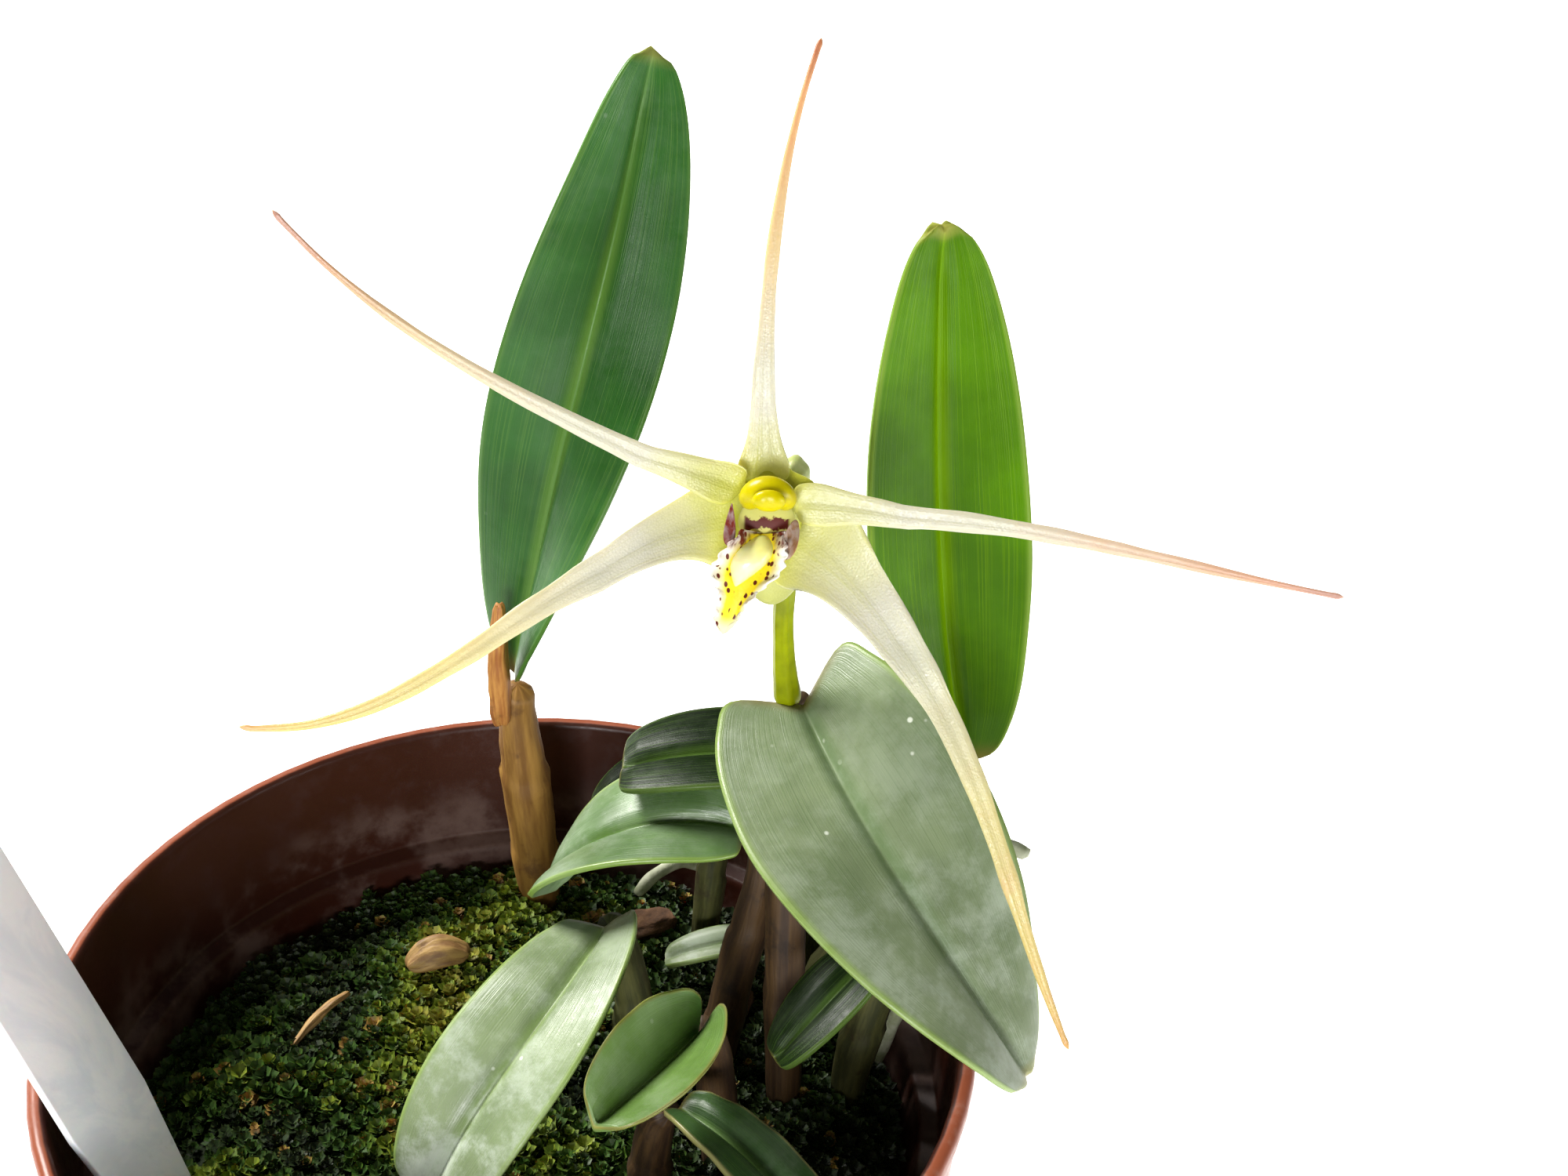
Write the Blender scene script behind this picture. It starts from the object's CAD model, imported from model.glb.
"""Looks for the potted orchid: leaves, flower, moss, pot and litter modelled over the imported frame.

Everything is in metres in the frame's own axes. A blade or a stem is rebuilt as a smooth skin over
the rings of its frame node, so it keeps that node's size and place. Only the flower's heart, with the
inner ends of its sepals and petals, stands a little above its nodes.
"""

from math import cos, pi, radians, sin

import bmesh
import bpy
import numpy as np
from bpy.props import FloatProperty, FloatVectorProperty, IntProperty, PointerProperty
from mathutils import Matrix, Vector, noise
from mathutils.bvhtree import BVHTree


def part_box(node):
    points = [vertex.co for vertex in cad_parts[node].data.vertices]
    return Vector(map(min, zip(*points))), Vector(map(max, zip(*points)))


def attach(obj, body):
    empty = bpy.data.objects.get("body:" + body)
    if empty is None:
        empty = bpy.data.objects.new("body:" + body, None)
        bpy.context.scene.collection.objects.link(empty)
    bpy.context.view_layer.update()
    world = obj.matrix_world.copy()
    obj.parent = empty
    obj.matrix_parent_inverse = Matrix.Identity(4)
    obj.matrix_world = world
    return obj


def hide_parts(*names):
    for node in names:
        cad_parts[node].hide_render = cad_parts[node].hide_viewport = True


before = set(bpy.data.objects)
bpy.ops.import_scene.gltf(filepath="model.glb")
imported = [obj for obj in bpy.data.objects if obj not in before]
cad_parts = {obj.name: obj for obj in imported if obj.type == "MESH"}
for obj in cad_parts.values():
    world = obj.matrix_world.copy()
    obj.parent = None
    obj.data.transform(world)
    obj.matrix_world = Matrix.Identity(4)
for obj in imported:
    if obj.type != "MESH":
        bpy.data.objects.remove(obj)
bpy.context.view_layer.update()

bl_info = {
    "name": "Potted Orchid",
    "version": (1, 0, 0),
    "blender": (4, 5, 0),
    "location": "View3D > Sidebar > Orchid",
    "description": "Builds a small flowering orchid in a mossy nursery pot",
    "category": "Object",
}

MM = 0.001
LEAF_COUNT = 12
HEART_RISE = 1.8  # mm that the column and lip stand above the frame's own
HEART_REACH = 13 * MM  # how far from the flower's heart the tepals bend up to it
CAMERA_PLACE = Vector((0.0253, -0.1495, 0.1532))  # from above the axis, at the rim's height
CAMERA_DOWN, CAMERA_LEAN = radians(34.74), radians(1.467)


# ---------------------------------------------------------------- settings


def length(name, description, default):
    return FloatProperty(name=name, description=description, default=default, unit="LENGTH")


def colour(name, description, default):
    return FloatVectorProperty(
        name=name, description=description, default=default, subtype="COLOR", min=0, max=1
    )


class OrchidLeafSettings(bpy.types.PropertyGroup):
    groove: length("Midrib groove", "Depth of the channel along a leaf's upper side", 0.5 * MM)
    keel: length("Keel", "How far the midrib stands below the leaf", 0.45 * MM)
    swell: length("Swell", "How far each half of a blade is pillowed", 0.4 * MM)
    wave: length("Wave", "Slow unevenness of a blade", 0.45 * MM)
    deep: colour("Deep green", "Old leaves in shade", (0.007, 0.016, 0.004))
    mature: colour("Mature green", "The tall old leaf", (0.026, 0.11, 0.016))
    fresh: colour("Fresh green", "Young leaves with light in them", (0.065, 0.175, 0.0))
    grey: colour("Grey green", "Waxy leaves with a bloom", (0.19, 0.24, 0.13))
    rib: colour("Midrib", "Pale green along the middle", (0.16, 0.3, 0.05))
    edge: colour("Margin", "Yellow-green rim of a leaf", (0.2, 0.3, 0.04))


class OrchidFlowerSettings(bpy.types.PropertyGroup):
    tilt: FloatProperty(
        name="Tilt",
        description="How far the flower's face is tipped up",
        default=radians(25),
        subtype="ANGLE",
    )
    frill: length("Frill", "Height of the waves in the lip's margin", 0.34 * MM)
    ivory: colour("Ivory", "Sepals and petals", (0.46, 0.445, 0.345))
    throat: colour("Throat", "Yellow-green at the flower's heart", (0.47, 0.48, 0.03))
    peach: colour("Peach", "Tips of the sepals and petals", (0.54, 0.29, 0.13))
    lip: colour("Lip", "Golden yellow of the lip", (0.74, 0.58, 0.015))
    spot: colour("Spots", "Maroon marks on the lip and throat", (0.09, 0.008, 0.004))
    cap: colour("Cap", "Waxy yellow of the column", (0.44, 0.38, 0.0))
    stalk: colour("Stalk", "Flower stalk", (0.2, 0.235, 0.0))


class OrchidPotSettings(bpy.types.PropertyGroup):
    edge_round: length("Edge rounding", "Radius on the pot's moulded edges", 0.35 * MM)
    lip: colour("Pot", "Terracotta-coloured plastic", (0.28, 0.075, 0.034))
    chalk: colour("Chalk", "Hard-water haze left above the moss", (0.42, 0.3, 0.25))
    label: colour("Label", "White plastic of the plant label", (0.98, 0.98, 0.98))


class OrchidMossSettings(bpy.types.PropertyGroup):
    shoots: IntProperty(name="Shoots", description="Number of moss shoots", default=5400, min=0)
    height: length("Shoot height", "Height of a moss shoot", 2.7 * MM)
    seed: IntProperty(name="Seed", description="Changes where the shoots stand", default=7)
    dark: colour("Dark moss", "Moss in wet shade", (0.008, 0.02, 0.003))
    green: colour("Green moss", "Growing shoots", (0.03, 0.09, 0.003))
    yellow: colour("Yellow moss", "Shoots in the light", (0.2, 0.25, 0.01))
    tan: colour("Tan tips", "Dry tips of some shoots", (0.36, 0.2, 0.05))


class OrchidSettings(bpy.types.PropertyGroup):
    leaf: PointerProperty(type=OrchidLeafSettings)
    flower: PointerProperty(type=OrchidFlowerSettings)
    pot: PointerProperty(type=OrchidPotSettings)
    moss: PointerProperty(type=OrchidMossSettings)


# ---------------------------------------------------------------- shader building


class Tree:
    """Adds nodes to a shader tree, each by its type and what goes into its inputs."""

    def __init__(self, tree):
        self.tree = tree

    def put(self, socket, value):
        if isinstance(value, bpy.types.NodeSocket):
            self.tree.links.new(value, socket)
        elif value is not None:
            if socket.type == "RGBA" and len(value) == 3:
                value = (*value, 1)
            socket.default_value = value

    def add(self, kind, *values, out=0, **settings):
        node = self.tree.nodes.new(kind)
        for key, value in settings.items():
            setattr(node, key, value)
        sockets = [socket for socket in node.inputs if socket.enabled]
        for socket, value in zip(sockets, values):
            self.put(socket, value)
        return [socket for socket in node.outputs if socket.enabled][out]

    def place(self, scale=(1, 1, 1), turn=(0, 0, 0), kind="Object"):
        coords = self.tree.nodes.new("ShaderNodeTexCoord").outputs[kind]
        return self.add("ShaderNodeMapping", coords, (0, 0, 0), turn, scale)

    def noise(self, vector, scale, detail=3, rough=0.55):
        return self.add("ShaderNodeTexNoise", vector, scale, detail, rough)

    def math(self, operation, a, b=None, c=None):
        return self.add("ShaderNodeMath", a, b, c, operation=operation)

    def times(self, a, b):
        return self.math("MULTIPLY", a, b)

    def plus(self, a, b):
        return self.math("ADD", a, b)

    def span(self, value, low, high, to_low=0.0, to_high=1.0):
        return self.add(
            "ShaderNodeMapRange", value, low, high, to_low, to_high, interpolation_type="SMOOTHSTEP"
        )

    def mix(self, share, a, b, blend="MIX"):
        return self.add("ShaderNodeMix", share, a, b, data_type="RGBA", blend_type=blend)

    def ramp(self, value, *stops):
        node = self.tree.nodes.new("ShaderNodeValToRGB")
        self.tree.links.new(value, node.inputs[0])
        points = node.color_ramp.elements
        while len(points) < len(stops):
            points.new(0.5)
        for point, (place, shade) in zip(points, stops):
            point.position = place
            point.color = (*shade, 1) if hasattr(shade, "__len__") else (shade, shade, shade, 1)
        return node.outputs[0]

    def bump(self, height, distance, strength=1.0, normal=None):
        return self.add("ShaderNodeBump", strength, distance, 1.0, height, normal)

    def finish(self, shader, tone, rough=None, height=None, depth=0.0, strength=1.0):
        """Joins a colour, a roughness and a relief `depth` metres deep to the shader."""
        self.put(shader.inputs["Base Color"], tone)
        self.put(shader.inputs["Roughness"], rough)
        if height is not None:
            self.put(shader.inputs["Normal"], self.bump(height, depth, strength))

    def group(self, group, **values):
        node = self.tree.nodes.new("ShaderNodeGroup")
        node.node_tree = group
        for key, value in values.items():
            self.put(node.inputs[key], value)
        return node.outputs


def new_finish(name, rough, depth=50 * MM, **constants):
    """(material, its tree, its shader) with these plain values on the shader's sockets.

    depth is how far light spreads under the surface.
    """
    made = bpy.data.materials.new(name)
    made.use_nodes = True
    shader = made.node_tree.nodes["Principled BSDF"]
    shader.inputs["Roughness"].default_value = rough
    shader.inputs["Subsurface Scale"].default_value = depth
    for key, value in constants.items():
        shader.inputs[key.replace("_", " ")].default_value = value
    return made, Tree(made.node_tree), shader


def effect(name, inputs, outputs, build):
    """A node group with these named sockets. build(tree, inputs) returns its output values."""
    group = bpy.data.node_groups.get(name)
    if group:
        return group
    group = bpy.data.node_groups.new(name, "ShaderNodeTree")
    for label, kind in inputs:
        group.interface.new_socket(label, in_out="INPUT", socket_type="NodeSocket" + kind)
    for label, kind in outputs:
        group.interface.new_socket(label, in_out="OUTPUT", socket_type="NodeSocket" + kind)
    start = group.nodes.new("NodeGroupInput")
    end = group.nodes.new("NodeGroupOutput")
    results = build(Tree(group), start.outputs)
    for socket, value in zip(end.inputs, results):
        group.links.new(value, socket)
    return group


def blade_map():
    """Places on a blade from its UVs: across from the midrib, along from the base, each 0 to 1."""

    def build(tree, _):
        place = tree.add("ShaderNodeSeparateXYZ", tree.tree.nodes.new("ShaderNodeUVMap").outputs[0])
        parts = place.node.outputs
        turned = tree.math("FRACT", tree.times(parts[0], 2.0))
        signed = tree.math("SUBTRACT", tree.times(turned, 2.0), 1.0)
        under = tree.math("GREATER_THAN", parts[0], 0.5)
        return tree.math("ABSOLUTE", signed), parts[1], under, signed

    outputs = [("Across", "Float"), ("Along", "Float"), ("Under", "Float"), ("Signed", "Float")]
    return effect("blade_map", [], outputs, build)


def leaf_skin():
    """Waxy leaf: pale rib, fine parallel veins, mottling, bloom and a rim."""

    def build(tree, given):
        blade, rib, edge, bloom = (given[key] for key in ("Blade", "Rib", "Edge", "Bloom"))
        across, along, under, signed = tree.group(blade_map())
        place = tree.place()
        cloud = tree.noise(place, 90, 4)
        fine = tree.noise(place, 900, 3)
        stretched = tree.add("ShaderNodeCombineXYZ", tree.times(signed, 46.0), along, under)
        veins = tree.noise(stretched, 1.6, 2)
        cells = tree.noise(place, 5200, 2)
        tone = tree.mix(
            tree.span(cloud, 0.32, 0.7), tree.mix(1.0, blade, (0.62, 0.66, 0.6, 1), "MULTIPLY"), blade
        )
        tone = tree.mix(tree.span(veins, 0.52, 0.72, 0, 0.3), tone, rib)
        pale = tree.times(tree.span(across, 0.16, 0.0, 0, 0.55), tree.span(along, 1.0, 0.6, 0.35, 1))
        tone = tree.mix(pale, tone, rib)
        tone = tree.mix(tree.span(across, 0.035, 0.0, 0, 0.75), tone, tree.mix(0.35, blade, rib))
        tone = tree.mix(tree.times(under, 0.55), tone, tree.mix(0.25, blade, rib))
        haze = tree.times(tree.span(tree.noise(place, 170, 6, 0.7), 0.42, 0.66), bloom)
        haze = tree.times(haze, tree.span(along, 0.2, 0.95, 0.35, 1.15))
        tone = tree.mix(haze, tone, (0.5, 0.56, 0.47, 1))
        rim = tree.span(across, 0.9, 0.985)
        tone = tree.mix(tree.times(rim, 0.6), tone, edge)
        tone = tree.mix(tree.span(along, 0.965, 1.0, 0, 0.6), tone, (0.38, 0.33, 0.08, 1))
        tone = tree.mix(tree.span(along, 0.06, 0.0, 0, 0.8), tone, (0.16, 0.1, 0.025, 1))
        dots = tree.add("ShaderNodeTexVoronoi", place, 620.0, feature="F1")
        seen = tree.math(
            "GREATER_THAN", tree.add("ShaderNodeTexWhiteNoise", dots.node.outputs["Position"]), 0.8
        )
        spot = tree.times(tree.span(dots, 0.2, 0.1), seen)
        spot = tree.times(spot, tree.span(tree.noise(place, 60, 2), 0.5, 0.62))
        spot = tree.times(spot, tree.math("MINIMUM", tree.times(bloom, 3.0), 1.0))
        tone = tree.mix(tree.times(spot, 0.7), tone, (0.72, 0.75, 0.66, 1))
        rough = tree.plus(tree.span(fine, 0.3, 0.7, 0.3, 0.42), tree.times(haze, 0.22))
        height = tree.times(veins, 0.7)
        height = tree.plus(height, tree.times(cells, 0.22))
        height = tree.plus(height, tree.times(cloud, 1.1))
        return tone, rough, height

    inputs = [("Blade", "Color"), ("Rib", "Color"), ("Edge", "Color"), ("Bloom", "Float")]
    return effect(
        "leaf_skin", inputs, [("Color", "Color"), ("Roughness", "Float"), ("Height", "Float")], build
    )


def papery():
    """Dry sheath: long fibres, streaks and darker stains."""

    def build(tree, given):
        _, along, _, signed = tree.group(blade_map())
        place = tree.place()
        lines = tree.add(
            "ShaderNodeCombineXYZ",
            tree.times(signed, given["Fibres"]),
            tree.times(along, 2.2),
            0.0,
        )
        fibre = tree.noise(lines, 1.0, 4, 0.6)
        stain = tree.noise(place, 260, 4, 0.65)
        tone = tree.mix(tree.span(fibre, 0.36, 0.66), given["Dark"], given["Light"])
        tone = tree.mix(tree.span(stain, 0.55, 0.72, 0, 0.75), tone, given["Stain"])
        height = tree.plus(fibre, tree.times(stain, 0.4))
        return tone, height

    inputs = [("Dark", "Color"), ("Light", "Color"), ("Stain", "Color"), ("Fibres", "Float")]
    return effect("papery", inputs, [("Color", "Color"), ("Height", "Float")], build)


def moulded():
    """Moulded plastic: a faint cloudiness, fine scratches and dust."""

    def build(tree, given):
        place = tree.place()
        cloud = tree.noise(place, 45, 4)
        grain = tree.noise(place, 2600, 2)
        scratch = tree.noise(tree.place((900, 900, 30), (0.3, 0.2, 0)), 1.0, 3, 0.7)
        dust = tree.noise(place, 320, 6, 0.7)
        tone = tree.mix(
            tree.span(cloud, 0.3, 0.7), tree.mix(
                1.0, given["Color"], (0.8, 0.78, 0.78, 1), "MULTIPLY"
            ), given["Color"]
        )
        tone = tree.mix(tree.times(tree.span(dust, 0.52, 0.75), given["Dust"]), tone, (0.5, 0.42, 0.36, 1))
        rough = tree.plus(tree.span(cloud, 0.3, 0.7, 0.3, 0.42), tree.span(dust, 0.45, 0.7, 0, 0.2))
        height = tree.plus(tree.times(grain, 0.5), tree.times(scratch, 0.35))
        return tone, rough, height

    inputs = [("Color", "Color"), ("Dust", "Float")]
    return effect(
        "moulded", inputs, [("Color", "Color"), ("Roughness", "Float"), ("Height", "Float")], build
    )


# ---------------------------------------------------------------- mesh building


def finish_piece(name, bm, finish, replaces=(), smooth_angle=None):
    """A piece from a bmesh, riding on the plant's one body."""
    bmesh.ops.remove_doubles(bm, verts=bm.verts, dist=2e-6)
    bmesh.ops.recalc_face_normals(bm, faces=bm.faces)
    mesh = bpy.data.meshes.new(name)
    bm.to_mesh(mesh)
    bm.free()
    mesh.shade_smooth()
    if smooth_angle:
        mesh.set_sharp_from_angle(angle=smooth_angle)
    mesh.materials.append(finish)
    piece = bpy.data.objects.new(name, mesh)
    bpy.context.scene.collection.objects.link(piece)
    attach(piece, "root")
    if replaces:
        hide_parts(*replaces)
    return piece


def ball(place, across, up, uv=None):
    """A bmesh ball of radius 1 with its points moved to place(x, y, z), and UVs from uv(x, y)."""
    bm = bmesh.new()
    bmesh.ops.create_uvsphere(bm, u_segments=across, v_segments=up, radius=1)
    if uv:
        layer = bm.loops.layers.uv.new("UVMap")
        for face in bm.faces:
            for loop in face.loops:
                loop[layer].uv = uv(loop.vert.co.x, loop.vert.co.y)
    for vert in bm.verts:
        vert.co = place(*vert.co)
    return bm


def merged_copy(node):
    """A bmesh of a frame node with its loose triangles joined."""
    bm = bmesh.new()
    bm.from_mesh(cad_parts[node].data)
    bmesh.ops.remove_doubles(bm, verts=bm.verts, dist=5e-6)
    return bm


def levels_from(pole):
    """The mesh's vertices in levels, by how many edges they are from the pole."""
    seen, levels = {pole}, [[pole]]
    while levels[-1]:
        following = []
        for vert in levels[-1]:
            for edge in vert.link_edges:
                other = edge.other_vert(vert)
                if other not in seen:
                    seen.add(other)
                    following.append(other)
        levels.append(following)
    return levels[:-1]


def walk_round(level):
    """The vertices of one level in order round it."""
    inside, ring = set(level), [level[0]]
    while len(ring) < len(level):
        steps = [edge.other_vert(ring[-1]) for edge in ring[-1].link_edges]
        ring.append(next(vert for vert in steps if vert in inside and vert not in ring))
    return ring


def rings_of(node, count, near):
    """The node's rings of `count` points as an array, from the pole nearest to `near`, poles included."""
    bm = merged_copy(node)
    poles = [vert for vert in bm.verts if len(vert.link_edges) == count]
    for pole in sorted(poles, key=lambda vert: (vert.co - near).length):
        levels = levels_from(pole)
        if len(levels[-1]) == 1 and all(len(level) == count for level in levels[1:-1]):
            break
    else:
        raise RuntimeError(f"{node} isn't made of rings of {count} points")
    rings = [walk_round(levels[1])]
    for level in levels[2:-1]:
        ring = walk_round(level)
        turns = [ring[i:] + ring[:i] for i in range(count)]
        turns += [turn[::-1] for turn in turns]
        joined = [
            turn
            for turn in turns
            if all(any(e.other_vert(a) is b for e in a.link_edges) for a, b in zip(rings[-1], turn))
        ]
        last = rings[-1]
        rings.append(min(joined, key=lambda turn: sum((a.co - b.co).length for a, b in zip(last, turn))))
    points = [[levels[0][0].co] * count] + [[v.co for v in ring] for ring in rings]
    points.append([levels[-1][0].co] * count)
    array = np.array([[tuple(co) for co in ring] for ring in points])
    bm.free()
    return array


def spline_weights(places, count, closed=False):
    """Weights of `count` control points for a smooth curve through them, at each place along it."""
    rows = np.zeros((len(places), count))
    for row, place in zip(rows, places):
        first = min(int(place), count - 1 if closed else count - 2)
        f = place - first
        basis = (
            (-f + 2 * f**2 - f**3) / 2,
            (2 - 5 * f**2 + 3 * f**3) / 2,
            (f + 4 * f**2 - 3 * f**3) / 2,
            (f**3 - f**2) / 2,
        )
        for k, weight in zip(range(first - 1, first + 3), basis):
            if closed:
                row[k % count] += weight
            elif k < 0:
                row[0] += 2 * weight
                row[1] -= weight
            elif k >= count:
                row[-1] += 2 * weight
                row[-2] -= weight
            else:
                row[k] += weight
    return rows


def places_along(rings, shares):
    """Where these shares of the whole length fall, counted in rings."""
    centres = rings.mean(axis=1)
    steps = np.linalg.norm(np.diff(centres, axis=0), axis=1)
    reached = np.concatenate([[0], np.cumsum(steps)])
    return np.interp(np.array(shares) * reached[-1], reached, np.arange(len(reached)))


def shares_along(count):
    """Shares from 0 to 1, closer together towards both ends."""
    even = np.linspace(0, 1, count + 1)
    return 0.45 * even + 0.55 * (0.5 - 0.5 * np.cos(pi * even))


def skin_grid(points, tops, shares):
    """A closed skin through points[along][round], its UVs `tops` round it and `shares` along it."""
    along, around = len(points) - 1, len(points[0]) - 1
    bm = bmesh.new()
    layer = bm.loops.layers.uv.new("UVMap")
    bmesh.ops.create_grid(bm, x_segments=around, y_segments=along, size=0.5)
    for vert in bm.verts:
        vert.index = round((vert.co.y + 0.5) * along) * (around + 1) + round((vert.co.x + 0.5) * around)
    for face in bm.faces:
        for loop in face.loops:
            row, column = divmod(loop.vert.index, around + 1)
            loop[layer].uv = (tops[column], shares[row])
    for vert in bm.verts:
        row, column = divmod(vert.index, around + 1)
        vert.co = points[row][column]
    bmesh.ops.remove_doubles(bm, verts=bm.verts, dist=1e-7)
    return bm


def normals_of(points):
    """Outward unit normals of a grid whose columns close on themselves."""
    round_way = np.roll(points[:, :-1], -1, axis=1) - np.roll(points[:, :-1], 1, axis=1)
    round_way = np.concatenate([round_way, round_way[:, :1]], axis=1)
    along_way = np.gradient(points, axis=0)
    normals = np.cross(round_way, along_way)
    size = np.linalg.norm(normals, axis=2, keepdims=True)
    normals = normals / np.maximum(size, 1e-12)
    outward = points - points.mean(axis=1, keepdims=True)
    return normals if (normals * outward).sum() > 0 else -normals


def smooth_noise(points, scale, seed=0):
    """Soft noise from -1 to 1 at each of a grid's points."""
    shift = Vector((seed * 3.1, seed * 1.7, seed))
    return np.array([[noise.noise(Vector(p) * scale + shift) for p in row] for row in points])


def smooth_tube(rings, shares, around):
    """(points[along][round], the angles round) of a smooth tube through rings of eight points."""
    turn = np.linspace(0, 8, around + 1)
    turn[-1] = 0
    along_way = spline_weights(places_along(rings, shares), len(rings))
    points = np.einsum("ar,rkc,bk->abc", along_way, rings, spline_weights(turn, 8, closed=True))
    return points, turn * pi / 4


def stem_skin(node, near, around=28, along=44, relief=None):
    """A bmesh over a tube node, with `relief(round, share, points)` added along its normals."""
    rings = rings_of(node, 8, near)
    shares = shares_along(along)
    points, angles = smooth_tube(rings, shares, around)
    if relief:
        height = relief(angles[None, :], shares[:, None], points)
        points = points + normals_of(points) * height[:, :, None]
    points[0], points[-1] = rings[0, 0], rings[-1, 0]
    tops = np.linspace(0, 0.5, around + 1)
    return skin_grid(points, tops, shares)


def blade_faces(rings):
    """The rings of a leaf as its (upper, lower) face, five points each from one margin to the other."""
    pair = [(rings[:, i] + rings[:, (i + 1) % 10]) / 2 for i in range(10)]
    spread = [np.linalg.norm(pair[i] - pair[i + 5], axis=1).sum() for i in range(5)]
    start = int(np.argmax(spread))
    one = rings[:, [(start + 1 + i) % 10 for i in range(5)]]
    other = rings[:, [(start - i) % 10 for i in range(5)]]
    raised = ((one + other) / 2)[:, [0, 4]].mean(axis=1) - (one[:, 2] + other[:, 2]) / 2
    if ((one[:, 2] - other[:, 2]) * raised).sum() < 0:
        one, other = other, one
    return one, other


ACROSS = (0, 0.02, 0.05, 0.09, 0.15, 0.24, 0.36, 0.5, 0.64, 0.78, 0.88, 0.95, 1)


def leaf_bmesh(node, near, settings, seed, age):
    """A leaf blade with a channelled midrib above, a keel below and pillowed halves."""
    upper, lower = blade_faces(rings_of(node, 10, near))
    shares = shares_along(72)
    across = np.array([-a for a in ACROSS[::-1]] + list(ACROSS[1:]))
    along_way = spline_weights(places_along(np.concatenate([upper, lower], axis=1), shares), len(upper))
    over_way = spline_weights((across + 1) * 2, 5)
    top = np.einsum("ar,rkc,bk->abc", along_way, upper, over_way)
    low = np.einsum("ar,rkc,bk->abc", along_way, lower, over_way)
    apart = top - low
    normal = apart / np.maximum(np.linalg.norm(apart, axis=2, keepdims=True), 1e-9)
    half = np.linalg.norm(top[:, -1] - top[:, 0], axis=1)[:, None] / 2
    offset = across[None, :] * half
    ends = np.clip(np.minimum(shares, 1 - shares)[:, None] / 0.1, 0, 1)
    wide = np.clip(half / (5 * MM), 0, 1)
    groove = -settings.groove * np.exp(-((offset / (0.5 * MM)) ** 2)) * ends
    groove += 0.3 * settings.groove * np.exp(-(((abs(offset) - 1.3 * MM) / (0.7 * MM)) ** 2)) * ends
    swell = settings.swell * np.sin(pi * np.clip(abs(across), 0, 1))[None, :] * wide * ends
    slow = settings.wave * smooth_noise(top, 75, seed) * ends * (0.4 + 0.6 * abs(across)[None, :])
    rim = age * 0.3 * MM * smooth_noise(top, 320, seed + 5) * (abs(across) > 0.9)[None, :] * ends
    top = top + normal * (groove + swell + slow + rim)[:, :, None]
    keel = -settings.keel * np.exp(-((offset / (0.55 * MM)) ** 2)) * ends
    low = low + normal * (keel + 0.8 * swell + slow + rim)[:, :, None]
    points = np.concatenate([top, low[:, ::-1], top[:, :1]], axis=1)
    points[0] = (upper[0, 0] + lower[0, 0]) / 2
    points[-1] = (upper[-1, 0] + lower[-1, 0]) / 2
    tops = np.concatenate([(across + 1) / 4, 0.5 + (1 - across[::-1]) / 4, [1.0]])
    return skin_grid(points, tops, shares)


def tepal_bmesh(node, near, seed):
    """A sepal or petal: a slim lens with soft length-wise ribs."""
    rings = rings_of(node, 8, near)
    spread = [np.linalg.norm(rings[:, i] - rings[:, i + 4], axis=1).sum() for i in range(4)]
    start = int(np.argmax(spread))
    rings = np.roll(rings, -start, axis=1)
    raised = (rings[:, 0] + rings[:, 4]) / 2 - (rings[:, 2] + rings[:, 6]) / 2
    if ((rings[:, 2] - rings[:, 6]) * raised).sum() < 0:
        rings = np.concatenate([rings[:, :1], rings[:, :0:-1]], axis=1)
    shares = shares_along(96)
    points, angles = smooth_tube(rings, shares, 32)
    half = np.linalg.norm(points[:, 16] - points[:, 0], axis=1)[:, None] / 2
    ribs = 0.014 * np.cos(angles * 5)[None, :] * half * np.clip(half / (1.5 * MM), 0.2, 1)
    bent = 0.18 * MM * smooth_noise(points, 260, seed)
    points = points + normals_of(points) * (ribs + bent * np.clip(half / MM, 0, 1))[:, :, None]
    middle = points.mean(axis=1, keepdims=True)
    points = middle + (points - middle) * (1 + 0.45 * np.exp(-((shares / 0.09) ** 2)))[:, None, None]
    points[0], points[-1] = rings[0, 0], rings[-1, 0]
    return skin_grid(points, np.linspace(0, 1, 33), shares)


def middle_and_half(node):
    low, high = (Vector(corner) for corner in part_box(node))
    return (low + high) / 2, (high - low) / 2


def centre_of(node):
    return middle_and_half(node)[0]


def top_of(node):
    low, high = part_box(node)
    return Vector(((low[0] + high[0]) / 2, (low[1] + high[1]) / 2, high[2]))


def ease(value, low, high):
    """0 below low to 1 above high, with a soft start and end."""
    share = np.clip((value - low) / (high - low), 0, 1)
    return share * share * (3 - 2 * share)


# ---------------------------------------------------------------- finishes


def leaf_finish(name, blade, settings, bloom=0.1, rib=None, edge=None, shine=0.4):
    made, tree, shader = new_finish(name, 0.35, 1.0, Subsurface_Weight=0.06, Specular_IOR_Level=shine)
    shader.inputs["Subsurface Radius"].default_value = (0.6 * MM, 1.2 * MM, 0.3 * MM)
    skin = tree.group(
        leaf_skin(), Blade=blade, Rib=rib or settings.rib, Edge=edge or settings.edge, Bloom=bloom
    )
    tree.finish(shader, skin["Color"], skin["Roughness"], skin["Height"], 0.12 * MM, 0.55)
    return made


def papery_finish(name, dark, light, stain, fibres=9.0, rough=0.6, depth=0.25):
    made, tree, shader = new_finish(name, rough)
    skin = tree.group(papery(), Dark=dark, Light=light, Stain=stain, Fibres=fibres)
    tree.finish(shader, skin["Color"], None, skin["Height"], depth * MM, 0.8)
    return made


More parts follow.
